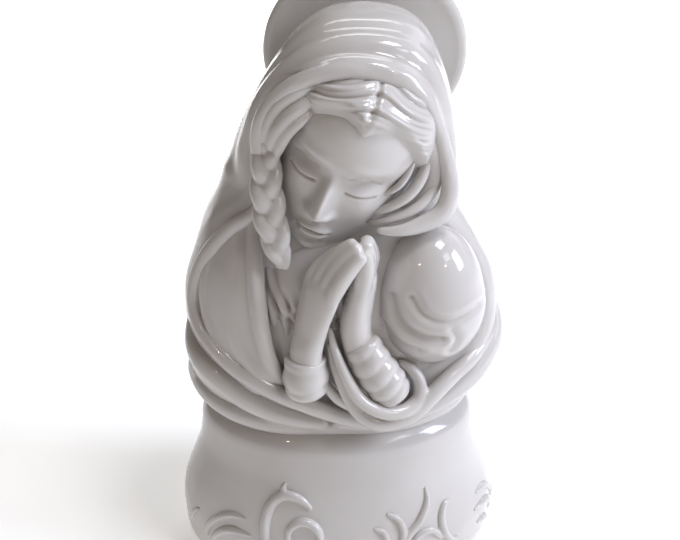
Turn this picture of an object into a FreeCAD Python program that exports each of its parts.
"""Glazed porcelain bust of a praying Madonna with a halo, on a bell-shaped pedestal with scroll ornament.

The figure is slip-cast in separate moulds and luted together with slip before firing, so each casting is
a solid of its own here and meets its neighbours face to face.  Millimetres, +Z up, front towards -Y, and
the origin in the middle of the foot's footprint on the table.  "left" and "right" are the figure's own.
"""

import FreeCAD
import Part

import math
import os

V = FreeCAD.Vector

# ---- driving dimensions ---------------------------------------------------------------------------
WALL = 5.0                     # thickness of the slip-cast walls
VENT_RADIUS = 1.5              # pinhole that lets the gas out of a closed casting in the kiln

PLAN_RATIO = 0.712             # depth over width of the oval pedestal
FOOT_HALF_WIDTH = 66.0
BULGE_HALF_WIDTH = 72.4
BULGE_HEIGHT = 26.0
RIM_HALF_WIDTH = 60.5
RIM_HEIGHT = 71.0
SEAT_HALF_WIDTH = 54.5
SEAT_HEIGHT = 81.0             # flat top that the bust is luted to
SEAT_PLATE = 6.0

NECK_HEIGHT = 178.0            # the mantle's body ends here and the hood begins
HOOD_WALL = 4.5
LINING_THICKNESS = 6.0         # inner layer of the veil that closes the hood around the hair

HEAD_CENTRE = V(5.5, -4.0, 198.0)
SKULL = (29.5, 35.5, 40.0)     # half width, half depth and half height of the skull
HEAD_BOW = 14.0                # degrees forward
HEAD_TILT = 19.0               # degrees towards her left shoulder
HEAD_TURN = 10.0               # degrees towards her right

HALO_RADIUS = 43.6
HALO_THICKNESS = 5.0
HALO_CENTRE = V(12.0, 37.8, 223.0)
HALO_LEAN = 14.0               # degrees, top edge forward

# Half widths of the draped body: height, her right, her left, front of the torso, back
BODY = [
    (81.0, 57.0, 52.5, 37.0, 37.0),
    (92.0, 64.5, 60.5, 39.5, 41.0),
    (104.0, 68.5, 68.0, 40.0, 43.0),
    (115.0, 67.5, 71.0, 39.0, 44.5),
    (127.0, 65.5, 70.0, 37.0, 46.0),
    (140.0, 64.5, 66.0, 34.0, 47.0),
    (155.0, 59.0, 57.5, 30.0, 47.5),
    (168.0, 54.0, 51.5, 26.5, 47.5),
    (178.0, 49.5, 48.0, 24.0, 47.0),
]
# Hood over the head: height, middle in x, half width, front, back
HOOD = [
    (178.0, 0.0, 49.0, 24.0, 47.0),
    (190.0, 2.5, 47.5, 27.0, 46.5),
    (204.0, 5.0, 44.5, 31.0, 45.5),
    (218.0, 8.0, 40.0, 34.0, 42.5),
    (230.0, 9.0, 34.5, 35.0, 38.0),
    (240.0, 9.5, 28.5, 29.0, 31.0),
    (246.5, 10.0, 19.5, 18.0, 22.0),
    (249.8, 10.0, 9.0, 6.5, 11.0),
]
# Front outline of the hood's opening, x and z, from her right shoulder over the brow to her left
HOOD_OPENING = [
    (-29.0, 170.0), (-28.0, 190.0), (-31.0, 206.0), (-25.5, 220.0), (-12.0, 231.5),
    (5.0, 235.5), (23.0, 231.0), (33.5, 222.0), (38.0, 204.0), (42.0, 189.0), (42.0, 170.0),
]


# Rolled hem of the mantle over her right arm, x and z, from the hood down and back to the waist
MANTLE_HEM = [(-33.0, 177.0), (-43.0, 168.0), (-55.0, 152.0), (-58.5, 136.0), (-57.0, 121.0),
              (-47.0, 109.0), (-33.0, 101.0)]


# ---- tools ----------------------------------------------------------------------------------------
def rotation(bow, tilt, turn):
    """Turns about the vertical, then tilts sideways, then bows forward."""
    bowed = FreeCAD.Rotation(V(1, 0, 0), bow)
    tilted = FreeCAD.Rotation(V(0, 1, 0), tilt)
    turned = FreeCAD.Rotation(V(0, 0, 1), -turn)
    return tilted.multiply(bowed).multiply(turned)


HEAD_TURNED = rotation(HEAD_BOW, HEAD_TILT, HEAD_TURN)


def oval(z, right_side, left_side, front, back, middle=0.0, steps=24):
    """Closed wire at one height, with a quarter of an ellipse in each quadrant."""
    points = []
    for i in range(steps):
        t = 2 * math.pi * i / steps
        x = (left_side if math.sin(t) > 0 else right_side) * math.sin(t)
        y = -(front if math.cos(t) > 0 else back) * math.cos(t)
        points.append(V(middle + x, y, z))
    curve = Part.BSplineCurve()
    curve.interpolate(points, PeriodicFlag=True)
    return Part.Wire([curve.toShape()])


def loft(wires):
    return Part.makeLoft(wires, True, False)


def ellipsoid(centre, half, turned=None):
    """Ellipsoid with half axes along x, y and z, turned about its own centre."""
    stretch = FreeCAD.Matrix()
    stretch.scale(V(*half))
    shape = Part.makeSphere(1.0).transformGeometry(stretch)
    shape.Placement = FreeCAD.Placement(centre, turned or FreeCAD.Rotation())
    return shape


def limb(points, radii, flatten=1.0, outward=V(0, -1, 0)):
    """Tapered limb: a loft through rounds set across a path; flatten stretches them outward."""
    wires = []
    for i, (point, radius) in enumerate(zip(points, radii)):
        before = points[max(i - 1, 0)]
        after = points[min(i + 1, len(points) - 1)]
        along = (after - before).normalize()
        side = outward.cross(along).normalize()
        depth = along.cross(side).normalize()
        ring = []
        for k in range(16):
            t = 2 * math.pi * k / 16
            across = side * (radius * math.cos(t))
            ring.append(point + across + depth * (radius * flatten * math.sin(t)))
        curve = Part.BSplineCurve()
        curve.interpolate(ring, PeriodicFlag=True)
        wires.append(Part.Wire([curve.toShape()]))
    return loft(wires)


def biggest(shape):
    return max(shape.Solids, key=lambda s: s.Volume)


def without(shape, *others):
    """The shape with its neighbours' room taken away, kept as its largest piece."""
    for other in others:
        shape = shape.cut(other)
    return biggest(shape)


def vent(at, length):
    return Part.makeCylinder(VENT_RADIUS, length, at, V(0, 0, 1))


# ---- pedestal: bell-shaped open casting with a flat seat on top ------------------------------------
# Half widths of the pedestal's wall by height
BELL = [
    (0.0, FOOT_HALF_WIDTH), (5.0, 68.4), (11.0, 70.4), (BULGE_HEIGHT, BULGE_HALF_WIDTH), (37.0, 70.2),
    (49.0, 65.4), (60.0, 62.0), (RIM_HEIGHT - 3.0, RIM_HALF_WIDTH), (RIM_HEIGHT + 4.0, RIM_HALF_WIDTH - 1.5),
    (SEAT_HEIGHT, SEAT_HALF_WIDTH + 1.0),
]


def bell(inset, levels):
    """Oval bell through the given levels, a list of heights and half widths."""
    wires = []
    for z, half_width in levels:
        oval_edge = Part.Ellipse(V(0, 0, z), half_width - inset, PLAN_RATIO * half_width - inset)
        wires.append(Part.Wire([oval_edge.toShape()]))
    return loft(wires)


def pedestal(whole_bell):
    """Open casting: the bell less a hollow that follows its wall, with a bleed hole in the seat."""
    hollow_levels = [(-1.0, FOOT_HALF_WIDTH)] + [(z, r) for z, r in BELL[1:-2]]
    hollow_levels.append((SEAT_HEIGHT - SEAT_PLATE, SEAT_HALF_WIDTH - 1.0))
    bleed_hole = Part.makeCylinder(6.0, 2 * SEAT_PLATE, V(0, 0, SEAT_HEIGHT - 1.5 * SEAT_PLATE))
    return without(whole_bell, bell(WALL, hollow_levels), bleed_hole)


def bell_point(angle, z, proud=0.0):
    """Point on the pedestal's wall, at an angle from the front and a height."""
    for (z0, r0), (z1, r1) in zip(BELL, BELL[1:]):
        if z <= z1:
            break
    r = r0 + (r1 - r0) * (z - z0) / (z1 - z0) + proud
    a = math.radians(angle)
    return V(r * math.sin(a), -PLAN_RATIO * r * math.cos(a), z)


def scroll(angle, size, hand):
    """C-scroll sprig: a tapering roll that curls up the wall and back on itself."""
    points, radii = [], []
    steps = 12
    for i in range(steps + 1):
        share = i / steps
        swing = math.radians(-70 + 300 * share)
        reach = size * (1.0 - 0.55 * share)
        across = hand * reach * math.cos(swing)
        z = 9.0 + size + reach * math.sin(swing)
        points.append(bell_point(angle + across, z))
        radii.append(3.4 - 1.6 * abs(2 * share - 0.7))
    a = math.radians(angle)
    return limb(points, radii, outward=V(PLAN_RATIO * math.sin(a), -math.cos(a), 0).normalize())


# ---- draped body ----------------------------------------------------------------------------------
def body(inset, bottom, top):
    wires = [oval(z, r - inset, l - inset, f - inset, b - inset) for z, r, l, f, b in BODY]
    slab = Part.makeBox(400, 400, top - bottom, V(-200, -200, bottom))
    return biggest(loft(wires).common(slab))


def on_body(x, z, proud=0.5):
    """Point on the front of the draped body above a place in its front view."""
    for low, high in zip(BODY, BODY[1:]):
        if z <= high[0]:
            break
    share = (z - low[0]) / (high[0] - low[0])
    side = 1 if x < 0 else 2
    half = low[side] + (high[side] - low[side]) * share
    depth = low[3] + (high[3] - low[3]) * share
    return V(x, -depth * math.sqrt(1 - (x / half) ** 2) - proud, z)


def mantle_body(core):
    """Closed hollow casting of the cloaked shoulders, with a pinhole in its floor."""
    hollow = body(WALL, SEAT_HEIGHT + WALL, NECK_HEIGHT - WALL)
    return without(core, hollow, vent(V(0, 0, SEAT_HEIGHT - 1), WALL + 2))


def hood_form(inset):
    wires = [oval(z - 0.6 * inset * (z > 235), w - inset, w - inset, f - inset, b - inset, m)
             for z, m, w, f, b in HOOD if w > inset + 3]
    return loft(wires)


def veil_hood(inner_form):
    """Shell over the head, open in front from brow to shoulders."""
    outline = [V(x, -60, z) for x, z in HOOD_OPENING]
    edge = Part.BSplineCurve()
    edge.interpolate(outline)
    closing = Part.makeLine(outline[-1], outline[0])
    opening = Part.Face(Part.Wire([edge.toShape(), closing])).extrude(V(0, 62, 0))
    return without(hood_form(0.0), inner_form, opening)


# ---- head, hair and hands -------------------------------------------------------------------------
def head_point(across, forward, up):
    return HEAD_CENTRE + HEAD_TURNED.multVec(V(across, -forward, up))


def skull():
    return ellipsoid(head_point(0, -1, 3), SKULL, HEAD_TURNED)


def head():
    """Solid form of the head, and its casting.

    The casting is a hollow head, with a neck that stands on the bodice and a pinhole up the neck.
    """
    jaw = ellipsoid(head_point(0, 9, -17), (22.0, 23.0, 25.0), HEAD_TURNED)
    neck = limb([V(0.5, -4, 150), V(2.5, -1.5, 163), V(4, 1, 178)], [15.0, 14.5, 15.0])
    room = ellipsoid(head_point(0, -1, 3), [half - WALL for half in SKULL], HEAD_TURNED)
    whole = skull().fuse(jaw).fuse(neck)
    return whole, without(whole, room, vent(V(2.5, -2.0, 148), 30))


def hair(solid_head):
    """Cap of waved hair, from the hairline back under the hood."""
    cap = ellipsoid(head_point(0, -1.5, 4), (31.5, 38.0, 42.0), HEAD_TURNED)
    face = ellipsoid(head_point(0, 30, -12), (25.0, 26.0, 36.0), HEAD_TURNED)
    below = Part.makeBox(120, 120, 60, V(-60, -60, -78))
    below.Placement = FreeCAD.Placement(HEAD_CENTRE, HEAD_TURNED)
    return cap, without(cap, solid_head, face, below)


def hand(wrist, middle, tip):
    """Flat hand with its fingers closed, tapering from the wrist to the finger tips."""
    across = (tip - wrist).normalize()
    near_wrist = wrist + (middle - wrist) * 0.5
    near_tip = middle + (tip - middle) * 0.6
    points = [wrist, near_wrist, middle, near_tip, tip - across * 1.0]
    return limb(points, [6.2, 5.6, 5.0, 4.2, 2.2], flatten=1.9)


# ---- the castings, each cut back to meet the ones before it ----------------------------------------
def build():
    parts = {}
    whole_bell = bell(0.0, BELL)
    parts["pedestal"] = pedestal(whole_bell)

    core = body(0.0, SEAT_HEIGHT, NECK_HEIGHT)
    parts["mantle_body"] = mantle_body(core)

    wrap = loft([oval(z, r, l, f, 4.0) for z, r, l, f in (
        (SEAT_HEIGHT + 0.2, 45.0, 42.0, 40.0), (90.0, 55.0, 52.0, 45.0),
        (101.0, 58.0, 58.0, 46.5), (110.0, 52.0, 58.0, 43.0))])
    parts["waist_wrap"] = without(wrap, core)

    shell_room = hood_form(HOOD_WALL)
    parts["veil_hood"] = veil_hood(shell_room)

    chest = ellipsoid(V(-9, -22, 144), (24.0, 15.0, 34.0))
    parts["bodice"] = without(chest, core, wrap)

    sleeve = ellipsoid(V(38.5, -22, 138.5), (21.8, 21.0, 30.5))
    parts["left_sleeve"] = without(sleeve, core, wrap, chest, parts["veil_hood"])

    panel = limb([V(-37, -14, 176), V(-48, -20, 156), V(-47, -27, 130), V(-34, -36, 110)],
                 [7.0, 12.0, 12.0, 7.0], flatten=0.8)
    parts["lapel_panel"] = without(panel, core, wrap, chest, parts["veil_hood"])

    solid_head, hollow_head = head()
    parts["head"] = without(hollow_head, core, chest)
    cap, waved_hair = hair(solid_head)
    parts["hair"] = without(waved_hair, core, parts["veil_hood"])

    lining = shell_room.common(Part.makeBox(200, LINING_THICKNESS, 100, V(-100, -14, NECK_HEIGHT - 0.5)))
    parts["veil_lining"] = without(biggest(lining), cap, solid_head, core, sleeve, chest)

    curl = ellipsoid(V(-19.5, -25, 213), (9.5, 9.0, 8.0), FreeCAD.Rotation(V(0, 1, 0), -25))
    parts["temple_curl"] = without(curl, solid_head, cap, parts["veil_hood"])
    plait = limb([V(-24, -20, 206), V(-26, -24, 190), V(-25, -28, 172), V(-23, -31, 157)],
                 [5.0, 6.0, 6.0, 3.5])
    parts["plait"] = without(plait, solid_head, cap, curl, parts["veil_hood"], chest, panel, core)

    folds = []
    kept = [solid_head, cap, parts["veil_hood"], parts["veil_lining"], core, sleeve, chest]
    for i in range(3):
        fold = ellipsoid(V(33.5 + 2.5 * i, -19 - 3 * i, 190 - 5 * i), (5.0, 10.0, 20.0 - 1.5 * i),
                         FreeCAD.Rotation(V(0, 1, 0), 32))
        folds.append(without(fold, *kept))
        kept.append(fold)
    parts["veil_inner_folds"] = Part.Compound(folds)

    wrists = {
        "right": [V(-12.9, -41, 118), V(-6.5, -40, 145), V(7.5, -42, 171)],
        "left": [V(9.5, -39, 122), V(10.5, -37.5, 146), V(11.5, -40, 171.5)],
    }
    cuffs = {
        "right": limb([V(-12.2, -40.5, 101), V(-12.6, -41, 109), V(-13, -41.2, 118.5)], [8.2, 9.4, 8.4]),
        "left": limb([V(23.5, -40, 99.5), V(17, -41, 110), V(10, -39.5, 122.5)], [8.2, 8.9, 7.6]),
    }
    taken = [core, wrap, chest, sleeve, solid_head]
    for side in ("right", "left"):
        parts[side + "_hand"] = without(hand(*wrists[side]), *cuffs.values(), *taken)
        taken.append(parts[side + "_hand"])
        parts[side + "_cuff"] = without(cuffs[side], core, wrap, chest, sleeve)

    drape = limb([V(-1, -42, 124), V(4, -45.5, 110), V(10.5, -47, 100.5), V(19, -47, 95.5), V(28, -45, 95),
                  V(34.5, -41, 99), V(36, -37, 107)], [2.2, 3.0, 3.6, 4.0, 4.0, 3.8, 3.2])
    parts["wrist_drape"] = without(drape, core, wrap, chest, sleeve, *cuffs.values(),
                                   parts["right_hand"], parts["left_hand"])

    hem = limb([on_body(x, z) for x, z in MANTLE_HEM], [3.0, 3.6, 4.0, 4.0, 4.0, 4.2, 4.2])
    parts["mantle_hem"] = without(hem, core, wrap, panel, plait, parts["veil_hood"])

    lean = FreeCAD.Rotation(V(1, 0, 0), HALO_LEAN)
    disc = Part.makeCylinder(HALO_RADIUS, HALO_THICKNESS, V(0, 0, -HALO_THICKNESS / 2), V(0, 0, 1))
    disc = disc.makeFillet(0.45 * HALO_THICKNESS, [edge for edge in disc.Edges if edge.Closed])
    disc.Placement = FreeCAD.Placement(HALO_CENTRE, lean.multiply(FreeCAD.Rotation(V(1, 0, 0), -90)))
    parts["halo"] = without(disc, hood_form(0.0), core)

    sprigs = {
        "scroll_front_right": (-18, 19.0, -1), "scroll_front_left": (27, 17.0, 1),
        "scroll_side_right": (-60, 16.0, 1), "scroll_side_left": (72, 16.0, -1),
        "scroll_back_right": (-140, 17.5, 1), "scroll_back_left": (140, 17.5, -1),
    }
    for name, (angle, size, hand_side) in sprigs.items():
        parts[name] = without(scroll(angle, size, hand_side), whole_bell)
    return parts


os.makedirs("parts", exist_ok=True)
for name, shape in build().items():
    shape.exportStep("parts/" + name + ".step")
    box = shape.BoundBox
    print("%-20s valid %s  solids %d  volume %8.0f mm3  x %6.1f %6.1f  y %6.1f %6.1f  z %6.1f %6.1f" % (
        name, shape.isValid(), len(shape.Solids), shape.Volume,
        box.XMin, box.XMax, box.YMin, box.YMax, box.ZMin, box.ZMax))
